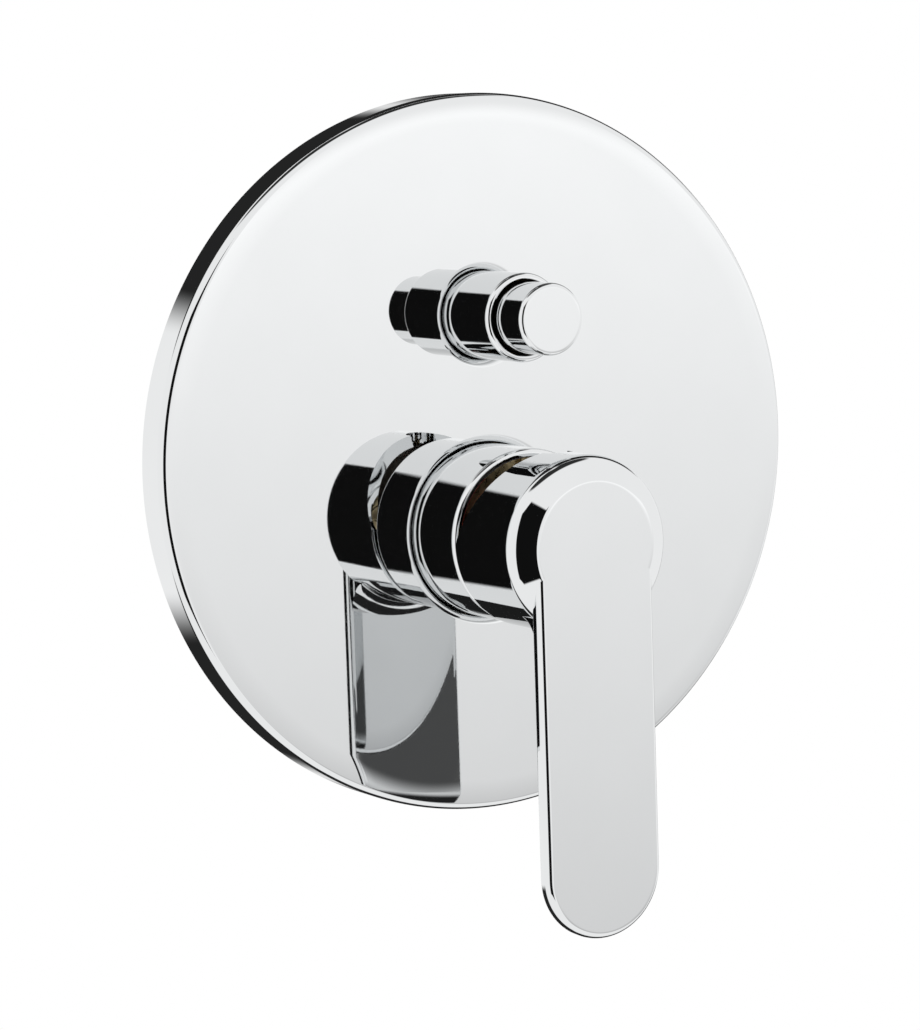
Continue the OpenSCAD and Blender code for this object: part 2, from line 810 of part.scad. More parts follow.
// Set screw with a hexagon socket, seated on the flat of the spindle
module lever_screw() {
    foot_z = spindle_w / 2 + touch;
    hex_r = set_screw_d / 4 / cos(30);
    color("dimgray") on_axis(lever_z) difference() {
        rod_y(set_screw_d / 2, foot_z, foot_z + set_screw_len, 0, set_screw_u);
        translate([0, foot_z + set_screw_len / 2, set_screw_u]) rotate([-90, 0, 0])
            cylinder(r = hex_r, h = set_screw_len, $fn = 6);
    }
}

// Bonnet: front seat with windows, spring housing, hexagon and the collar's tube
module diverter_bonnet() {
    groove_w = 1.5;
    groove_h = 1.8;
    color(brass) on_axis(diverter_z) difference() {
        union() {
            rod_z(bonnet_r, front_seat_u, hex_u + eps, 0, 0);
            rod_z(hex_flats / 2 / cos(30), hex_u, hex_u + hex_t, 0, 0, $fn = 6);
            rod_z(bonnet_tube_r, hex_u + hex_t - eps, bonnet_top_u, 0, 0);
        }
        rod_z(bonnet_bore_r, front_seat_u - eps, spring_seat_u, 0, 0);
        rod_z(stem_r + touch, spring_seat_u - eps, bonnet_top_u + eps, 0, 0);
        rod_x(window_r, -bonnet_r - over, bonnet_r + over, 0, window_u);
        rod_y(window_r, -bonnet_r - over, bonnet_r + over, 0, window_u);
        rod_z(stem_r + groove_w, stem_seal_u - groove_h / 2, stem_seal_u + groove_h / 2, 0, 0);
    }
}

module bonnet_seal() {
    color(rubber) turned(diverter_z)
        band(bonnet_r + touch, bonnet_r + bonnet_seal_w,
            tower_top_u - bonnet_seal_t, tower_top_u - touch);
}

module stem_seal() {
    color(rubber) turned(diverter_z) translate([stem_r + seal_r + touch, stem_seal_u]) circle(seal_r);
}

// Stem: thread for the knob, guide, thinner tail through the plunger, end collar
module diverter_stem() {
    end_u = plunger_u - washer_t - over;
    color("silver") on_axis(diverter_z) {
        rod_z(stem_r, plunger_u + plunger_len, knob_u + over, 0, 0);
        rod_z(stem_thread_r, knob_u + over - eps, knob_u + stem_thread_len, 0, 0);
        rod_z(stem_tail_r, end_u, plunger_u + plunger_len + eps, 0, 0);
        rod_z(stem_r, end_u - stem_end_t, end_u + eps, 0, 0);
    }
}

module diverter_plunger() {
    waist = 1.2;
    rim_t = 2;
    bore_r = stem_tail_r + touch;
    front_u = plunger_u + plunger_len;
    color(brass) turned(diverter_z) {
        band(bore_r, plunger_r, plunger_u, plunger_u + rim_t);
        band(bore_r, plunger_r - waist, plunger_u + rim_t - eps, front_u - rim_t + eps);
        band(bore_r, plunger_r, front_u - rim_t, front_u - touch);
    }
}

module plunger_washers() {
    front_u = plunger_u + plunger_len;
    color(rubber) turned(diverter_z) {
        band(stem_tail_r + touch, plunger_r, plunger_u - washer_t, plunger_u - touch);
        band(spring_r + spring_wire, plunger_r, front_u, front_u + washer_t - touch);
    }
}

// Compression spring: a round wire wound along the stem
function coil_point(t, r, u1, u2, coils) = [
    r * cos(360 * coils * t),
    r * sin(360 * coils * t),
    u1 + (u2 - u1) * t
];
function wire_ring(t, sides, r, u1, u2, coils, wire) = let (
    turn = 360 * coils * t,
    centre = coil_point(t, r, u1, u2, coils),
    outward = [cos(turn), sin(turn), 0]
) [
    for (k = [0 : sides - 1])
        centre + wire / 2 * (cos(360 * k / sides) * outward + [0, 0, sin(360 * k / sides)])
];
module coil_spring(r, u1, u2, coils, wire) {
    sides = 8;
    steps = coils * 20;
    rings = [for (k = [0 : steps]) each wire_ring(k / steps, sides, r, u1, u2, coils, wire)];
    walls = [
        for (k = [0 : steps - 1], s = [0 : sides - 1])
            let (a = k * sides + s, b = k * sides + (s + 1) % sides)
                [a, a + sides, b + sides, b]
    ];
    ends = [
        [for (s = [0 : sides - 1]) s],
        [for (s = [0 : sides - 1]) steps * sides + sides - 1 - s]
    ];
    polyhedron(points = rings, faces = concat(walls, ends));
}

module diverter_spring() {
    u1 = plunger_u + plunger_len + spring_wire / 2 + touch;
    u2 = spring_seat_u - spring_wire / 2 - touch;
    color("silver") on_axis(diverter_z) coil_spring(spring_r, u1, u2, spring_coils, spring_wire);
}

// Fixed collar, a tube on the bonnet's front, with a foot on the plate
module diverter_collar() {
    collar_tail = 4;
    color(chrome) turned(diverter_z) {
        rounded_band(collar_bore_r, collar_r, face_u - collar_tail, collar_u, collar_edge_r);
        foot_outline(collar_r, collar_sweep_r, collar_foot_h);
    }
}

// Pull knob, a solid button with a threaded hole for the stem
module diverter_knob() {
    color(chrome) turned(diverter_z) difference() {
        rounded_band(0, knob_r, knob_u, knob_front_u, knob_edge_r);
        band(-eps, stem_r + touch, knob_u - eps, knob_u + over + touch);
        band(-eps, stem_thread_r + touch, knob_u, knob_u + stem_thread_len + touch);
    }
}

valve_body();
cartridge_base();
base_seals();
disc_seals();
fixed_disc();
moving_disc();
disc_carrier();
turret();
pivot_pin();
spindle();
cartridge_housing();
limit_ring();
cartridge_nut();
sleeve_seal();
sleeve();
sleeve_washer();
face_plate();
plate_gasket();
lever();
lever_screw();
diverter_bonnet();
bonnet_seal();
stem_seal();
diverter_stem();
diverter_plunger();
plunger_washers();
diverter_spring();
diverter_collar();
collar_washer();
diverter_knob();
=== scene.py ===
import json
import math

import bpy
import numpy as np
from mathutils import Matrix, Vector


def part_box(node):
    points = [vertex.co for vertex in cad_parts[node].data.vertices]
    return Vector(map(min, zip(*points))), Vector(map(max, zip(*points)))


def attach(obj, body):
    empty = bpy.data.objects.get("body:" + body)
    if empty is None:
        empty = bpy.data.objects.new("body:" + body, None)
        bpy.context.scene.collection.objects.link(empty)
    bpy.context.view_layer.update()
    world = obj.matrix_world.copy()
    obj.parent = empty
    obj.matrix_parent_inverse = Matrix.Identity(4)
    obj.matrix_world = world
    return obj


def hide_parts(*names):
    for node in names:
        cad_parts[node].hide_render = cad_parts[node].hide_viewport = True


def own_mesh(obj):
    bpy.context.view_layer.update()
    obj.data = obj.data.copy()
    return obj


MM = 0.001

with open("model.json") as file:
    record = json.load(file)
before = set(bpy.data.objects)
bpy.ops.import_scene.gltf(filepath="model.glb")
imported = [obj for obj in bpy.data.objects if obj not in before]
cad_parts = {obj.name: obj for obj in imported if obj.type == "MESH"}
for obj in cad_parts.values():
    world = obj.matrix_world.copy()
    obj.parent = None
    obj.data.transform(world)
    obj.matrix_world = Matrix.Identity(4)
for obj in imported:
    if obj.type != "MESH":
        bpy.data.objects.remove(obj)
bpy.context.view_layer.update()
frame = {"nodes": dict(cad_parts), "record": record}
nodes = frame["nodes"]

# Sizes in millimetres, read from the frame. u is the distance in front of the fixing face.


def span(node):
    """Lowest and highest corners of a node as (x, u, z) in millimetres."""
    low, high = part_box(node)
    return (low.x / MM, -high.y / MM, low.z / MM), (high.x / MM, -low.y / MM, high.z / MM)


plate_low, plate_high = span("face_plate")
sleeve_low, sleeve_high = span("sleeve")
lever_low, lever_high = span("lever")
collar_low, collar_high = span("diverter_collar")
knob_low, knob_high = span("diverter_knob")

plate_r = (plate_high[0] - plate_low[0]) / 2
wall_u = plate_low[1]
face_u = plate_high[1]
lever_z = (sleeve_low[2] + sleeve_high[2]) / 2
diverter_z = (collar_low[2] + collar_high[2]) / 2

# The solids of the sleeve and the collar are this much wider at the plate than the tubes
sleeve_foot_w = 2.35
collar_foot_w = 2.7
sleeve_r = (sleeve_high[0] - sleeve_low[0]) / 2 - sleeve_foot_w
collar_r = (collar_high[0] - collar_low[0]) / 2 - collar_foot_w
sleeve_u = sleeve_high[1]
collar_u = collar_high[1]
knob_r = (knob_high[0] - knob_low[0]) / 2
knob_u = knob_high[1]

# Wall thicknesses and roundings, as in the CAD source
plate_wall = 1.8
plate_edge_r = 2.0
plate_roll_r = 67.0
plate_roll = math.radians(4.7)
hole_gap = 0.08
hole_edge_r = 2.2
sleeve_wall = 1.5
sleeve_lip = 3.5
sleeve_edge_r = 1.3
collar_edge_r = 1.2
knob_edge_r = 1.2
collar_bore_r = collar_r - 1.5
stem_hole_r = 3.05

# Lever
head_r = (lever_high[0] - lever_low[0]) / 2
flat_u = lever_high[1]
rim_u = lever_low[1]
tip_z = lever_low[2]
blade_half = 16.25
blade_t = 3.8
blade_front_r = 1.9
blade_back_r = 0.8
blade_swell = 1.45
blade_back_u = flat_u - blade_t
blade_straight = lever_z - tip_z - blade_half
head_wall = 2.8
head_front = 7.5
cavity_u = flat_u - head_front
head_edge_r = 3.6
flat_edge_r = 2.5
bevel = math.radians(30)
wedge = math.radians(28)
notch_half = 3.5
hub_r = 8.5
hub_u = rim_u + 6
socket_half = 4.05
socket_depth = 14.05
screw_u = hub_u + 7
screw_r = 2.55
root_r = 7.0
root_half = blade_half - blade_back_r - 0.4

cone_x = head_r - head_edge_r * (1 - math.sin(bevel))
edge_u = flat_u - (cone_x - blade_half) * math.tan(bevel) - head_edge_r * math.cos(bevel)
flat_tangent = flat_edge_r * math.tan(bevel / 2)


# Outlines in radius and depth, and the solids turned from them


class Outline:
    """A path of straight lines and arcs in the radius and depth plane."""

    def __init__(self, r, u):
        self.points = [(r, u)]
        self.parts = []

    def line(self, r, u):
        a = self.points[-1]
        if math.hypot(r - a[0], u - a[1]) > 1e-9:
            self.parts.append(("line", a, (r, u)))
            self.points.append((r, u))
        return self

    def arc(self, r, u, radius, start, end, steps=14):
        """An arc about (r, u), from one angle in degrees to another, 0 being outwards."""
        first = math.radians(start)
        last = math.radians(end)
        self.line(r + radius * math.cos(first), u + radius * math.sin(first))
        self.parts.append(("arc", (r, u), radius, min(first, last), max(first, last)))
        for k in range(1, steps + 1):
            a = first + (last - first) * k / steps
            self.points.append((r + radius * math.cos(a), u + radius * math.sin(a)))
        return self


class Skin:
    """An outline swept round a centre line that runs down from an axis; no length is a turning."""

    def __init__(self, outline, axis_z, length=0.0):
        self.outline = outline
        self.axis_z = axis_z
        self.length = length

    def columns(self, count):
        """Directions and downward shifts of the swept outline's copies."""
        turns = [(2 * math.pi * k / count, 0.0) for k in range(count)]
        if self.length:
            half = count // 2
            upper = [(math.pi * k / half, 0.0) for k in range(half + 1)]
            lower = [(math.pi + math.pi * k / half, self.length) for k in range(half + 1)]
            turns = upper + lower
        return [(math.cos(a), math.sin(a), shift) for a, shift in turns]

    def flat(self, points):
        """Radius, depth and outward direction of places in millimetres."""
        x = points[:, 0]
        z = points[:, 2] - self.axis_z
        off = z - np.clip(z, -self.length, 0.0)
        radius = np.hypot(x, off)
        safe = np.maximum(radius, 1e-9)
        return radius, -points[:, 1], x / safe, off / safe

    def part_at(self, part, points):
        """Distance from a part of the outline, and the surface's normal there."""
        radius, depth, dir_x, dir_z = self.flat(points)
        if part[0] == "line":
            (r1, u1), (r2, u2) = part[1], part[2]
            size = math.hypot(r2 - r1, u2 - u1)
            ar, au = (r2 - r1) / size, (u2 - u1) / size
            along = np.clip((radius - r1) * ar + (depth - u1) * au, 0, size)
            gap = np.hypot(radius - r1 - along * ar, depth - u1 - along * au)
            nr = np.full_like(radius, au)
            nu = np.full_like(radius, -ar)
        else:
            (rc, uc), size, first, last = part[1:]
            dr, du = radius - rc, depth - uc
            reach = np.maximum(np.hypot(dr, du), 1e-9)
            angle = np.arctan2(du, dr)
            middle = (first + last) / 2
            angle = middle + (angle - middle + math.pi) % (2 * math.pi) - math.pi
            outside = np.maximum(np.abs(angle - middle) - (last - first) / 2, 0)
            gap = np.abs(reach - size) + outside * size
            nr, nu = dr / reach, du / reach
        return gap, np.stack([nr * dir_x, -nu, nr * dir_z], 1)


class Pillow:
    """The blade's swollen back: its depth falls from the centre line to the edge."""

    def __init__(self, axis_z, length, half, start, full):
        self.outline = Outline(0, 0)
        self.outline.parts = [("pillow",)]
        self.axis_z = axis_z
        self.length = length
        self.half = half
        self.start = start
        self.full = full

    def depth(self, points):
        """Depth of the back and its slopes along x and z, at places in millimetres."""
        x = points[:, 0]
        z = points[:, 2] - self.axis_z
        off = z - np.clip(z, -self.length, 0.0)
        inside = np.minimum(np.hypot(x, off) / self.half, 1.0)
        t = np.clip((-z - self.start) / (self.full - self.start), 0.0, 1.0)
        rise = blade_swell * t * t * (3 - 2 * t)
        steep = -blade_swell * 6 * t * (1 - t) / (self.full - self.start)
        hump = 1 - inside**2
        slope_x = rise * 2 * x / self.half**2
        slope_z = rise * 2 * off / self.half**2 - steep * hump
        edge = inside >= 1.0
        return (
            blade_back_u - rise * hump,
            np.where(edge, 0.0, slope_x),
            np.where(edge, 0.0, slope_z),
            np.hypot(x, off),
        )

    def part_at(self, part, points):
        deep, slope_x, slope_z, radius = self.depth(points)
        gap = np.abs(-points[:, 1] - deep) + np.maximum(radius - self.half, 0)
        size = np.sqrt(1 + slope_x**2 + slope_z**2)
        return gap, np.stack([slope_x / size, 1 / size, slope_z / size], 1)


def swept(name, skin, count, closed=False):
    """A closed solid from a skin. An open outline is capped flat at both ends."""
    ring = skin.outline.points[:-1] if closed else skin.outline.points
    cols = skin.columns(count)
    verts = [
        (r * cx * MM, -u * MM, (skin.axis_z - shift + r * cz) * MM)
        for cx, cz, shift in cols
        for r, u in ring
    ]
    n = len(ring)
    faces = []
    for c in range(len(cols)):
        d = (c + 1) % len(cols)
        for k in range(n if closed else n - 1):
            m = (k + 1) % n
            faces.append((c * n + k, d * n + k, d * n + m, c * n + m))
    if not closed:
        faces.append(tuple(c * n for c in range(len(cols))))
        faces.append(tuple(c * n + n - 1 for c in reversed(range(len(cols)))))
    mesh = bpy.data.meshes.new(name)
    mesh.from_pydata(verts, [], faces)
    mesh.validate()
    piece = bpy.data.objects.new(name, mesh)
    bpy.context.scene.collection.objects.link(piece)
    turn_outward(piece)
    return piece


def turn_outward(piece):
    import bmesh

    work = bmesh.new()
    work.from_mesh(piece.data)
    bmesh.ops.recalc_face_normals(work, faces=work.faces)
    work.to_mesh(piece.data)
    work.free()


def prism(name, corners, axis, low, high):
    """A prism on a polygon, for cuts. The corners are the two other coordinates, in millimetres."""

    def place(a, b, c):
        at = {"x": (c, a, b), "y": (a, c, b), "z": (a, b, c)}[axis]
        return tuple(v * MM for v in at)

    n = len(corners)
    verts = [place(a, b, low) for a, b in corners] + [place(a, b, high) for a, b in corners]
    faces = [tuple(range(n)), tuple(range(2 * n - 1, n - 1, -1))]
    faces += [(k, (k + 1) % n, n + (k + 1) % n, n + k) for k in range(n)]
    mesh = bpy.data.meshes.new(name)
    mesh.from_pydata(verts, [], faces)
    piece = bpy.data.objects.new(name, mesh)
    bpy.context.scene.collection.objects.link(piece)
    turn_outward(piece)
    return piece


def circle_corners(a, b, radius, count=96):
    steps = [2 * math.pi * k / count for k in range(count)]
    return [(a + radius * math.cos(t), b + radius * math.sin(t)) for t in steps]


def combine(piece, tool, operation):
    """Applies a union, a difference or an intersection with a tool that is then deleted."""
    cut = piece.modifiers.new("cut", "BOOLEAN")
    cut.operation = operation
    cut.solver = "EXACT"
    cut.object = tool
    bpy.context.view_layer.update()
    graph = bpy.context.evaluated_depsgraph_get()
    mesh = bpy.data.meshes.new_from_object(piece.evaluated_get(graph))
    piece.modifiers.clear()
    piece.data = mesh
    bpy.data.objects.remove(tool)


def shade(piece, skins, tolerance=0.06):
    """True surface normals: each face takes them from the outline that it lies on."""
    mesh = piece.data
    count = len(mesh.polygons)
    centre = np.zeros(count * 3)
    normal = np.zeros(count * 3)
    mesh.polygons.foreach_get("center", centre)
    mesh.polygons.foreach_get("normal", normal)
    centre = centre.reshape(-1, 3) / MM
    normal = normal.reshape(-1, 3)
    best = np.full(count, tolerance)
    owner = np.full(count, -1)
    parts = [(skin, part) for skin in skins for part in skin.outline.parts]
    for k, (skin, part) in enumerate(parts):
        gap, aim = skin.part_at(part, centre)
        match = np.abs((aim * normal).sum(1))
        cost = gap + 0.5 * (1 - match)
        closer = cost < best
        best[closer] = cost[closer]
        owner[closer] = k
    loops = len(mesh.loops)
    corner = np.zeros(loops, int)
    mesh.loops.foreach_get("vertex_index", corner)
    starts = np.zeros(count, int)
    totals = np.zeros(count, int)
    mesh.polygons.foreach_get("loop_start", starts)
    mesh.polygons.foreach_get("loop_total", totals)
    face_of = np.repeat(np.arange(count), totals)
    places = np.zeros(len(mesh.vertices) * 3)
    mesh.vertices.foreach_get("co", places)
    places = places.reshape(-1, 3)[corner] / MM
    result = normal[face_of].copy()
    for k, (skin, part) in enumerate(parts):
        mine = owner[face_of] == k
        if mine.any():
            aim = skin.part_at(part, places[mine])[1]
            side = np.sign((aim * result[mine]).sum(1))
            result[mine] = aim * side[:, None]
    mesh.polygons.foreach_set("use_smooth", [True] * count)
    mesh.normals_split_custom_set(result.tolist())


# The five chromed pieces that show


def hole_skin(tube_r, height):
    """The outline of a hole whose edge the press has rolled inwards round a tube."""
    inner_u = face_u - plate_wall
    turned_in = math.acos((hole_edge_r - plate_wall) / hole_edge_r)
    edge_r = tube_r + hole_gap
    middle_r = edge_r + hole_edge_r * math.sin(turned_in)
    outline = Outline(edge_r, inner_u - 5)
    start = 90 + math.degrees(turned_in)
    outline.arc(middle_r, face_u - hole_edge_r, hole_edge_r, start, 90.6, 24)
    outline.line(outline.points[-1][0], face_u + 5)
    return Skin(outline, height)


def make_plate():
    inner_u = face_u - plate_wall
    edge_mid = plate_r - plate_edge_r
    roll_mid = edge_mid - (plate_roll_r - plate_edge_r) * math.sin(plate_roll)
    drop = (plate_roll_r - plate_edge_r) * (1 - math.cos(plate_roll))
    tilted = 90 - math.degrees(plate_roll)
    outline = Outline(0.001, face_u)
    outline.arc(roll_mid, face_u - plate_roll_r, plate_roll_r, 90, tilted, 16)
    outline.arc(edge_mid, face_u - plate_edge_r - drop, plate_edge_r, tilted, 0, 20)
    outline.line(plate_r, wall_u)
    outline.line(plate_r - plate_wall, wall_u)
    outline.line(plate_r - plate_wall, inner_u)
    outline.line(0.001, inner_u)
    skin = Skin(outline, 0.0)
    full = Outline(*outline.points[1])
    full.points = outline.points[1:-1]
    full.parts = outline.parts
    plate = swept("plate_chrome", Skin(full, 0.0), 512)
    holes = [hole_skin(sleeve_r, lever_z), hole_skin(collar_r, diverter_z)]
    for hole in holes:
        combine(plate, swept("hole", hole, 256), "DIFFERENCE")
    shade(plate, [skin, *holes])
    return plate


def make_sleeve():
    bore = sleeve_r - sleeve_wall
    lip = bore - 0.7
    outline = Outline(bore, face_u - 6)
    outline.line(bore, sleeve_u - sleeve_lip)
    outline.line(lip, sleeve_u - sleeve_lip)
    outline.line(lip, sleeve_u - 0.3)
    outline.line(lip + 0.3, sleeve_u)
    outline.arc(sleeve_r - sleeve_edge_r, sleeve_u - sleeve_edge_r, sleeve_edge_r, 90, 0)
    outline.line(sleeve_r, face_u - 6)
    outline.line(bore, face_u - 6)
    skin = Skin(outline, lever_z)
    piece = swept("sleeve_chrome", skin, 256, closed=True)
    shade(piece, [skin])
    return piece


def make_collar():
    back_u = face_u - 4
    outline = Outline(collar_bore_r, back_u)
    outline.line(collar_bore_r, collar_u - 0.15)
    outline.line(collar_bore_r + 0.15, collar_u)
    outline.arc(collar_r - collar_edge_r, collar_u - collar_edge_r, collar_edge_r, 90, 0)
    outline.line(collar_r, back_u)
    outline.line(collar_bore_r, back_u)
    skin = Skin(outline, diverter_z)
    piece = swept("collar_chrome", skin, 192, closed=True)
    shade(piece, [skin])
    return piece


def make_knob():
    back_u = knob_low[1]
    outline = Outline(stem_hole_r, back_u + 12)
    outline.line(stem_hole_r, back_u)
    outline.line(knob_r, back_u)
    outline.line(knob_r, knob_u - knob_edge_r)
    outline.arc(knob_r - knob_edge_r, knob_u - knob_edge_r, knob_edge_r, 0, 90)
    skin = Skin(outline, diverter_z)
    piece = swept("knob_chrome", skin, 192)
    shade(piece, [skin])
    return piece


def head_outline():
    outline = Outline(0.001, rim_u - 0.001)
    outline.line(head_r, rim_u - 0.001)
    outline.line(head_r, edge_u)
    outline.arc(head_r - head_edge_r, edge_u, head_edge_r, 0, 90 - math.degrees(bevel), 20)
    flat_x = blade_half - flat_tangent
    start = 90 - math.degrees(bevel)
    outline.arc(flat_x, flat_u - flat_edge_r, flat_edge_r, start, 90, 16)
    return outline


def blade_outline():
    back = blade_back_r
    front = blade_front_r
    rings = 26
    outline = Outline(0.001, blade_back_u)
    for k in range(1, rings):
        outline.line((blade_half - back) * math.sin(math.pi / 2 * k / rings), blade_back_u)
    outline.arc(blade_half - back, blade_back_u + back, back, -90, 0)
    outline.arc(blade_half - front, flat_u - front, front, 0, 90, 20)
    return outline


def swell_back(blade, pillow):
    """Moves the flat back's vertices onto the pillow and closes its middle."""
    import bmesh

    work = bmesh.new()
    work.from_mesh(blade.data)
    for vert in work.verts:
        if abs(-vert.co.y / MM - blade_back_u) < 1e-4:
            place = np.array([[vert.co.x, vert.co.y, vert.co.z]]) / MM
            vert.co.y = -pillow.depth(place)[0][0] * MM
    bmesh.ops.remove_doubles(work, verts=work.verts, dist=2e-6)
    bmesh.ops.recalc_face_normals(work, faces=work.faces)
    work.to_mesh(blade.data)
    work.free()


def make_lever():
    head_skin = Skin(head_outline(), lever_z)
    blade_skin = Skin(blade_outline(), lever_z, blade_straight)
    solid = Outline(head_r, rim_u)
    solid.points = head_skin.outline.points[1:]
    lever = swept("lever_chrome", Skin(solid, lever_z), 256)
    blade = swept("blade", blade_skin, 256)
    back_half = blade_half - blade_back_r
    pillow = Pillow(lever_z, blade_straight, back_half, head_r + root_r, head_r + 3 * root_r)
    swell_back(blade, pillow)
    blade_skin.outline.parts = [
        part for part in blade_skin.outline.parts if part[0] == "arc" or part[1][1] != part[2][1]
    ]

    root = Outline(head_r - 1, blade_back_u + 0.5)
    root.line(head_r - 1, blade_back_u - root_r)
    root.line(head_r, blade_back_u - root_r)
    root.arc(head_r + root_r, blade_back_u - root_r, root_r, 180, 90, 24)
    root.line(head_r + root_r, blade_back_u + 0.5)
    root.line(head_r - 1, blade_back_u + 0.5)
    root_skin = Skin(root, lever_z)
    fillet = swept("fillet", root_skin, 256, closed=True)
    below = [
        (-root_half, lever_z),
        (root_half, lever_z),
        (root_half, lever_z - head_r - 2 * root_r),
        (-root_half, lever_z - head_r - 2 * root_r),
    ]
    combine(fillet, prism("keep", below, "y", -flat_u, -rim_u), "INTERSECT")
    combine(lever, blade, "UNION")
    combine(lever, fillet, "UNION")

    hollow = Outline(head_r - head_wall, rim_u - 3)
    hollow.line(head_r - head_wall, cavity_u)
    hollow_skin = Skin(hollow, lever_z)
    hub = Outline(hub_r, hub_u)
    hub.line(hub_r, cavity_u + 1)
    hub_skin = Skin(hub, lever_z)
    room = swept("room", hollow_skin, 192)
    combine(room, swept("hub", hub_skin, 128), "DIFFERENCE")
    combine(lever, room, "DIFFERENCE")

    reach = head_r + 10
    slope = [
        (-rim_u, lever_z),
        (-rim_u - reach * math.tan(wedge), lever_z + reach),
        (-rim_u + 10, lever_z + reach),
        (-rim_u + 10, lever_z),
    ]
    combine(lever, prism("wedge", slope, "x", -reach, reach), "DIFFERENCE")
    key = [(-notch_half, -rim_u + 5), (notch_half, -rim_u + 5), (notch_half, -screw_u)]
    arc = [math.pi * k / 24 for k in range(1, 24)]
    key += [(notch_half * math.cos(a), -screw_u - notch_half * math.sin(a)) for a in arc]
    key.append((-notch_half, -screw_u))
    outside = lever_z + head_r - head_wall - 1
    combine(lever, prism("notch", key, "z", outside, lever_z + reach), "DIFFERENCE")
    square = [
        (-socket_half, lever_z - socket_half),
        (socket_half, lever_z - socket_half),
        (socket_half, lever_z + socket_half),
        (-socket_half, lever_z + socket_half),
    ]
    deep = -hub_u - socket_depth
    combine(lever, prism("socket", square, "y", deep, -hub_u + 1), "DIFFERENCE")
    bore = circle_corners(0, -screw_u, screw_r, 48)
    combine(lever, prism("bore", bore, "z", lever_z, lever_z + hub_r + 1), "DIFFERENCE")
    shade(lever, [head_skin, blade_skin, pillow, root_skin, hollow_skin, hub_skin])
    return lever


# Materials


def new_material(name):
    material = bpy.data.materials.new(name)
    material.use_nodes = True
    tree = material.node_tree
    return material, tree, tree.nodes["Principled BSDF"]


def noise(tree, scale, detail=3.0, stretch=(1, 1, 1)):
    """Noise in object coordinates, with features of about 1 / scale metres."""
    where = tree.nodes.new("ShaderNodeTexCoord")
    sizes = tree.nodes.new("ShaderNodeMapping")
    sizes.inputs["Scale"].default_value = stretch
    made = tree.nodes.new("ShaderNodeTexNoise")
    made.inputs["Scale"].default_value = scale
    made.inputs["Detail"].default_value = detail
    tree.links.new(where.outputs["Object"], sizes.inputs["Vector"])
    tree.links.new(sizes.outputs["Vector"], made.inputs["Vector"])
    return made.outputs["Fac"]


def ranged(tree, value, low, high):
    """The value's middle range mapped to a new range."""
    made = tree.nodes.new("ShaderNodeMapRange")
    made.inputs["From Min"].default_value = 0.3
    made.inputs["From Max"].default_value = 0.7
    made.inputs["To Min"].default_value = low
    made.inputs["To Max"].default_value = high
    tree.links.new(value, made.inputs["Value"])
    return made.outputs["Result"]


def tinted(tree, value, dark, light):
    made = tree.nodes.new("ShaderNodeMix")
    made.data_type = "RGBA"
    made.inputs["A"].default_value = (*dark, 1)
    made.inputs["B"].default_value = (*light, 1)
    tree.links.new(value, made.inputs["Factor"])
    return made.outputs["Result"]


def bumped(tree, shader, value, strength, distance):
    made = tree.nodes.new("ShaderNodeBump")
    made.inputs["Strength"].default_value = strength
    made.inputs["Distance"].default_value = distance
    tree.links.new(value, made.inputs["Height"])
    tree.links.new(made.outputs["Normal"], shader.inputs["Normal"])


def chrome_material():
    """Polished plating: a faint haze that varies, and almost no waviness."""
    material, tree, shader = new_material("chrome")
    shader.inputs["Metallic"].default_value = 1.0
    haze = noise(tree, 900, 4)
    tree.links.new(ranged(tree, haze, 0.012, 0.03), shader.inputs["Roughness"])
    tone = noise(tree, 60, 2)
    colour = tinted(tree, ranged(tree, tone, 0, 1), (0.79, 0.8, 0.805), (0.8, 0.81, 0.815))
    tree.links.new(colour, shader.inputs["Base Color"])
    bumped(tree, shader, noise(tree, 45, 1), 0.012, 0.0004)
    return material


def metal_material(name, dark, light, rough, grain, depth, stretch=(1, 1, 1)):
    material, tree, shader = new_material(name)
    shader.inputs["Metallic"].default_value = 1.0
    mottle = noise(tree, grain, 5, stretch)
    colour = tinted(tree, ranged(tree, mottle, 0, 1), dark, light)
    tree.links.new(colour, shader.inputs["Base Color"])
    tree.links.new(ranged(tree, mottle, rough - 0.08, rough + 0.08), shader.inputs["Roughness"])
    bumped(tree, shader, noise(tree, grain * 2, 4, stretch), 0.35, depth)
    return material


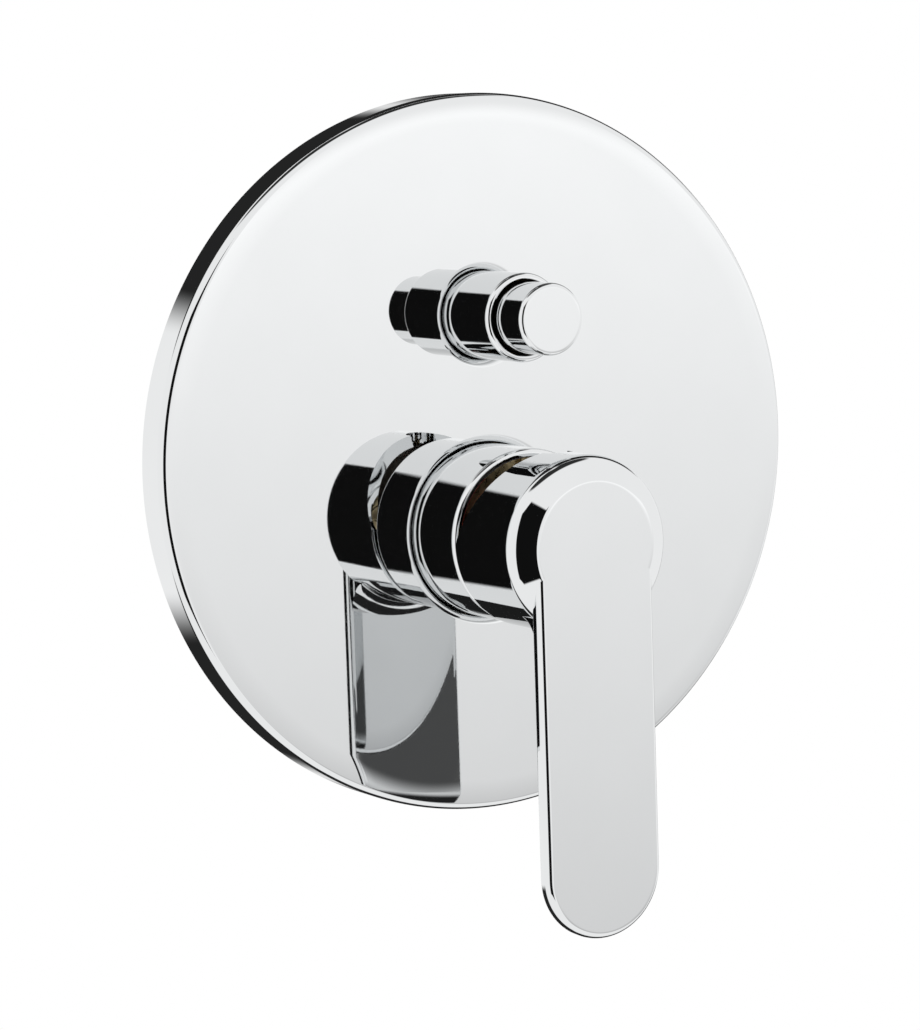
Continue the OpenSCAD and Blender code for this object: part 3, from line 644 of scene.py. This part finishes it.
def plate_lip(material, start, end):
    """Lets the plating reach a little way into the lever's hollow, measured from its rim."""
    tree = material.node_tree
    shader = tree.nodes["Principled BSDF"]

    def made(kind, first, second):
        node = tree.nodes.new("ShaderNodeMath")
        node.operation = kind
        tree.links.new(first, node.inputs[0])
        node.inputs[1].default_value = second
        return node

    where = tree.nodes.new("ShaderNodeTexCoord")
    split = tree.nodes.new("ShaderNodeSeparateXYZ")
    tree.links.new(where.outputs["Object"], split.inputs["Vector"])
    above = made("SUBTRACT", split.outputs["Z"], lever_z * MM)
    above = made("MAXIMUM", above.outputs["Value"], 0)
    cut = made("MULTIPLY", above.outputs["Value"], math.tan(wedge))
    depth = made("MULTIPLY", split.outputs["Y"], -1)
    depth = made("SUBTRACT", depth.outputs["Value"], rim_u * MM)
    past = made("SUBTRACT", depth.outputs["Value"], 0)
    tree.links.new(cut.outputs["Value"], past.inputs[1])

    def eased(low, high):
        node = tree.nodes.new("ShaderNodeMapRange")
        node.interpolation_type = "SMOOTHSTEP"
        node.inputs["From Min"].default_value = start * MM
        node.inputs["From Max"].default_value = end * MM
        node.inputs["To Min"].default_value = low
        node.inputs["To Max"].default_value = high
        tree.links.new(past.outputs["Value"], node.inputs["Value"])
        return node.outputs["Result"]

    mask = eased(0, 1)
    for socket, kind, plated in (
        ("Base Color", "RGBA", (0.79, 0.8, 0.805, 1)),
        ("Roughness", "FLOAT", 0.02),
    ):
        cast = shader.inputs[socket].links[0].from_socket
        mix = tree.nodes.new("ShaderNodeMix")
        mix.data_type = kind
        slots = [slot for slot in mix.inputs if slot.enabled]
        tree.links.new(mask, slots[0])
        slots[1].default_value = plated
        tree.links.new(cast, slots[2])
        result = [slot for slot in mix.outputs if slot.enabled][0]
        tree.links.new(result, shader.inputs[socket])
    bump = shader.inputs["Normal"].links[0].from_node
    tree.links.new(eased(0, bump.inputs["Strength"].default_value), bump.inputs["Strength"])
    return material


def plain_material(name, dark, light, rough, grain, depth):
    material, tree, shader = new_material(name)
    mottle = noise(tree, grain, 4)
    colour = tinted(tree, ranged(tree, mottle, 0, 1), dark, light)
    tree.links.new(colour, shader.inputs["Base Color"])
    tree.links.new(ranged(tree, mottle, rough - 0.06, rough + 0.06), shader.inputs["Roughness"])
    bumped(tree, shader, noise(tree, grain * 3, 3), 0.3, depth)
    return material


chrome = chrome_material()
finishes = {
    "cast_brass": metal_material(
        "cast_brass", (0.36, 0.25, 0.11), (0.58, 0.43, 0.2), 0.45, 700, 0.0003
    ),
    "turned_brass": metal_material(
        "turned_brass", (0.42, 0.33, 0.18), (0.56, 0.45, 0.26), 0.3, 500, 0.00005, (1, 12, 1)
    ),
    "steel": metal_material(
        "steel", (0.4, 0.4, 0.39), (0.55, 0.55, 0.54), 0.28, 800, 0.00004, (1, 10, 1)
    ),
    # Unplated cast metal inside the bores: its near-black colour is painted shade, far darker than
    # bare metal
    "casting_with_painted_shade": metal_material(
        "casting_with_painted_shade", (0.07, 0.064, 0.055), (0.2, 0.185, 0.16), 0.5, 450, 0.0002
    ),
    # The same darkened casting in the lever's hollow, painted shade, with the real plated lip near
    # the rim
    "plated_lip_painted_shade": plate_lip(
        metal_material(
            "plated_lip_painted_shade", (0.07, 0.064, 0.055), (0.2, 0.185, 0.16), 0.5, 450, 0.0002
        ),
        2.4,
        3.4,
    ),
    "white_plastic": plain_material(
        "white_plastic", (0.68, 0.68, 0.64), (0.78, 0.78, 0.75), 0.45, 400, 0.00008
    ),
    "grey_plastic": plain_material(
        "grey_plastic", (0.12, 0.125, 0.13), (0.18, 0.185, 0.19), 0.5, 500, 0.0001
    ),
    "red_plastic": plain_material(
        "red_plastic", (0.3, 0.035, 0.025), (0.4, 0.05, 0.035), 0.4, 400, 0.00006
    ),
    "ceramic": plain_material(
        "ceramic", (0.76, 0.74, 0.69), (0.85, 0.84, 0.8), 0.2, 300, 0.00003
    ),
    "rubber": plain_material(
        "rubber", (0.015, 0.015, 0.016), (0.035, 0.035, 0.036), 0.6, 600, 0.00012
    ),
    "foam": plain_material(
        "foam", (0.03, 0.03, 0.032), (0.075, 0.075, 0.078), 0.9, 1500, 0.0004
    ),
}


def dress(piece, material):
    piece.data.materials.clear()
    piece.data.materials.append(material)


def paint_bore_shade(piece, finish, axis_z, radius, deepest):
    """Gives the faces inside a bore the cast metal's dull finish, darkened to paint the shade in
    the bore.
    """
    piece.data.materials.append(finishes[finish])
    for face in piece.data.polygons:
        centre = face.center / MM
        inside = math.hypot(centre.x, centre.z - axis_z) < radius
        if inside and -centre.y < deepest:
            face.material_index = 1


for node_slot in frame["record"]["subparts"]:
    slot_name = node_slot["material_slot"]
    target = nodes[node_slot["node"]]
    dress(target, finishes.get(slot_name, chrome))
    target.data.polygons.foreach_set("use_smooth", [True] * len(target.data.polygons))
    target.data.set_sharp_from_angle(angle=math.radians(28))

shown = {
    "face_plate": (make_plate, "fixture"),
    "sleeve": (make_sleeve, "fixture"),
    "diverter_collar": (make_collar, "fixture"),
    "diverter_knob": (make_knob, "diverter"),
    "lever": (make_lever, "lever"),
}
for node_name, (make, body_name) in shown.items():
    made_piece = make()
    dress(made_piece, chrome)
    # The lever's hollow and the collar's bore take the darkened casting, which paints their shade
    if node_name == "lever":
        bore_r = head_r - head_wall + 0.05
        paint_bore_shade(made_piece, "plated_lip_painted_shade", lever_z, bore_r, cavity_u + 0.05)
    if node_name == "diverter_collar":
        bore_r = collar_bore_r + 0.05
        paint_bore_shade(made_piece, "casting_with_painted_shade", diverter_z, bore_r, collar_u - 0.2)
    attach(made_piece, body_name)
    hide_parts(node_name)

# The return spring, copied from the CAD and left as it is, though the diverter's travel shortens
# the real one against its front seat
spring = bpy.data.objects.new("return_spring", nodes["diverter_spring"].data.copy())
bpy.context.scene.collection.objects.link(spring)
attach(spring, "fixture")
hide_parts("diverter_spring")
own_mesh(spring)


# Camera, fitted to the photograph with the plate taken as 180 mm across

view_az = math.radians(29.854)
view_el = math.radians(6.603)
view_roll = math.radians(-1.908)
view_distance = 900 * MM
view_target = Vector((-2.329 * MM, -60 * MM, -16.03 * MM))
lens_mm = 36 * 3553.8 / 920

away = Vector(
    (
        -math.sin(view_az) * math.cos(view_el),
        -math.cos(view_az) * math.cos(view_el),
        math.sin(view_el),
    )
)
level_right = (-away).cross(Vector((0, 0, 1))).normalized()
level_up = level_right.cross(-away)
right = level_right * math.cos(view_roll) + level_up * math.sin(view_roll)
up = level_up * math.cos(view_roll) - level_right * math.sin(view_roll)
camera_data = bpy.data.cameras.new("camera")
camera_data.sensor_fit = "HORIZONTAL"
camera_data.sensor_width = 36
camera_data.lens = lens_mm
camera_data.clip_end = 50
camera = bpy.data.objects.new("camera", camera_data)
bpy.context.scene.collection.objects.link(camera)
axes = Matrix((right, up, away)).transposed().to_4x4()
camera.matrix_world = Matrix.Translation(view_target + away * view_distance) @ axes
bpy.context.scene.camera = camera


# Studio: white all round, with panels that only the polished metal sees


def direction(az_left, el):
    """The unit vector at an angle to the left of the plate's front, and up."""
    a = math.radians(az_left)
    e = math.radians(el)
    return Vector((-math.sin(a) * math.cos(e), -math.cos(a) * math.cos(e), math.sin(e)))


def panel_material(name, width, height, low, high, soft):
    """A glow from low at the bottom to high at the top, which fades out at the edges."""
    material = bpy.data.materials.new(name)
    material.use_nodes = True
    tree = material.node_tree
    tree.nodes.clear()

    def ease(value, to_min, to_max, start, end, kind="SMOOTHSTEP"):
        made = tree.nodes.new("ShaderNodeMapRange")
        made.interpolation_type = kind
        made.inputs["From Min"].default_value = start
        made.inputs["From Max"].default_value = end
        made.inputs["To Min"].default_value = to_min
        made.inputs["To Max"].default_value = to_max
        tree.links.new(value, made.inputs["Value"])
        return made.outputs["Result"]

    def math_node(kind, a, b):
        made = tree.nodes.new("ShaderNodeMath")
        made.operation = kind
        for slot, value in zip(made.inputs, (a, b)):
            if isinstance(value, (int, float)):
                slot.default_value = value
            else:
                tree.links.new(value, slot)
        return made.outputs["Value"]

    place = tree.nodes.new("ShaderNodeUVMap")
    split = tree.nodes.new("ShaderNodeSeparateXYZ")
    tree.links.new(place.outputs["UV"], split.inputs["Vector"])
    across, upward = split.outputs["X"], split.outputs["Y"]
    side = math_node("MINIMUM", across, math_node("SUBTRACT", width, across))
    end = math_node("MINIMUM", upward, math_node("SUBTRACT", height, upward))
    mask = math_node(
        "MULTIPLY", ease(side, 0, 1, 0, 2 * soft), ease(end, 0, 1, 0, 2 * soft)
    )
    glow = tree.nodes.new("ShaderNodeEmission")
    tree.links.new(ease(upward, low, high, 0, height, "LINEAR"), glow.inputs["Color"])
    clear = tree.nodes.new("ShaderNodeBsdfTransparent")
    mix = tree.nodes.new("ShaderNodeMixShader")
    out = tree.nodes.new("ShaderNodeOutputMaterial")
    tree.links.new(mask, mix.inputs["Fac"])
    tree.links.new(clear.outputs["BSDF"], mix.inputs[1])
    tree.links.new(glow.outputs["Emission"], mix.inputs[2])
    tree.links.new(mix.outputs["Shader"], out.inputs["Surface"])
    return material


def panel(name, az, el, levels, soft=2.5, distance=0.85):
    """A curved panel over a window of directions seen from the lever's head."""
    eye = Vector((0, -face_u * MM, lever_z * MM))
    width, height = az[1] - az[0], el[1] - el[0]
    cols, rows = max(2, int(width / 5)), max(2, int(height / 5))
    verts, places, faces = [], [], []
    for r in range(rows + 1):
        for c in range(cols + 1):
            across, upward = width * c / cols, height * r / rows
            verts.append(tuple(eye + direction(az[0] + across, el[0] + upward) * distance))
            places.append((across, upward))
    for r in range(rows):
        for c in range(cols):
            k = r * (cols + 1) + c
            faces.append((k, k + 1, k + cols + 2, k + cols + 1))
    mesh = bpy.data.meshes.new(name)
    mesh.from_pydata(verts, [], faces)
    layer = mesh.uv_layers.new(name="UVMap")
    for loop in mesh.loops:
        layer.data[loop.index].uv = places[loop.vertex_index]
    made = bpy.data.objects.new(name, mesh)
    bpy.context.scene.collection.objects.link(made)
    made.data.materials.append(panel_material(name, width, height, *levels, soft))
    made.visible_camera = False
    made.visible_diffuse = False
    made.visible_shadow = False
    made.visible_transmission = False
    return made


# The camera's dark surround, the dark room above and behind, and a pale screen on the right
panel("camera_dark", (9.2, 46.8), (-28.8, 28.8), (0.006, 0.006), 0.8, 2.5)
panel("behind_above", (125, 262), (17, 89), (0.02, 0.02), 3, 1.2)
panel("behind_below", (125, 262), (-89, -20), (0.02, 0.02), 3, 1.2)
panel("behind_right", (186, 245), (-24, 21), (0.09, 0.09), 5, 1.1)
panel("ceiling", (-98, 98), (55, 89), (0.03, 0.03), 3, 1.2)
panel("front_screen", (-75, -8), (-40, 14), (0.45, 1.27), 3, 1.0)

world = bpy.data.worlds.new("studio")
bpy.context.scene.world = world
world.use_nodes = True
world_nodes = world.node_tree.nodes
world_links = world.node_tree.links
world_nodes.clear()
soft_light = world_nodes.new("ShaderNodeBackground")
soft_light.inputs["Color"].default_value = (0.9, 0.9, 0.9, 1)
backdrop = world_nodes.new("ShaderNodeBackground")
backdrop.inputs["Color"].default_value = (1, 1, 1, 1)
rays = world_nodes.new("ShaderNodeLightPath")
either = world_nodes.new("ShaderNodeMath")
either.operation = "MAXIMUM"
any_of = world_nodes.new("ShaderNodeMath")
any_of.operation = "MAXIMUM"
pick = world_nodes.new("ShaderNodeMixShader")
sky = world_nodes.new("ShaderNodeOutputWorld")
world_links.new(rays.outputs["Is Camera Ray"], either.inputs[0])
world_links.new(rays.outputs["Is Glossy Ray"], either.inputs[1])
world_links.new(either.outputs["Value"], any_of.inputs[0])
world_links.new(rays.outputs["Is Transmission Ray"], any_of.inputs[1])
world_links.new(any_of.outputs["Value"], pick.inputs["Fac"])
world_links.new(soft_light.outputs["Background"], pick.inputs[1])
world_links.new(backdrop.outputs["Background"], pick.inputs[2])
world_links.new(pick.outputs["Shader"], sky.inputs["Surface"])

# A pale floor below the object, just outside the photograph's view
floor_z = -0.4
floor_half = 0.6
floor_mesh = bpy.data.meshes.new("floor")
floor_corners = [(-1, -1), (1, -1), (1, 1), (-1, 1)]
floor_verts = [(a * floor_half, b * floor_half, floor_z) for a, b in floor_corners]
floor_mesh.from_pydata(floor_verts, [], [(0, 1, 2, 3)])
floor = bpy.data.objects.new("floor", floor_mesh)
bpy.context.scene.collection.objects.link(floor)
floor_material, floor_tree, floor_shader = new_material("floor")
floor_shader.inputs["Base Color"].default_value = (0.93, 0.93, 0.93, 1)
floor_shader.inputs["Roughness"].default_value = 0.9
floor.data.materials.append(floor_material)
floor.visible_glossy = False

bpy.context.scene.view_settings.view_transform = "Standard"
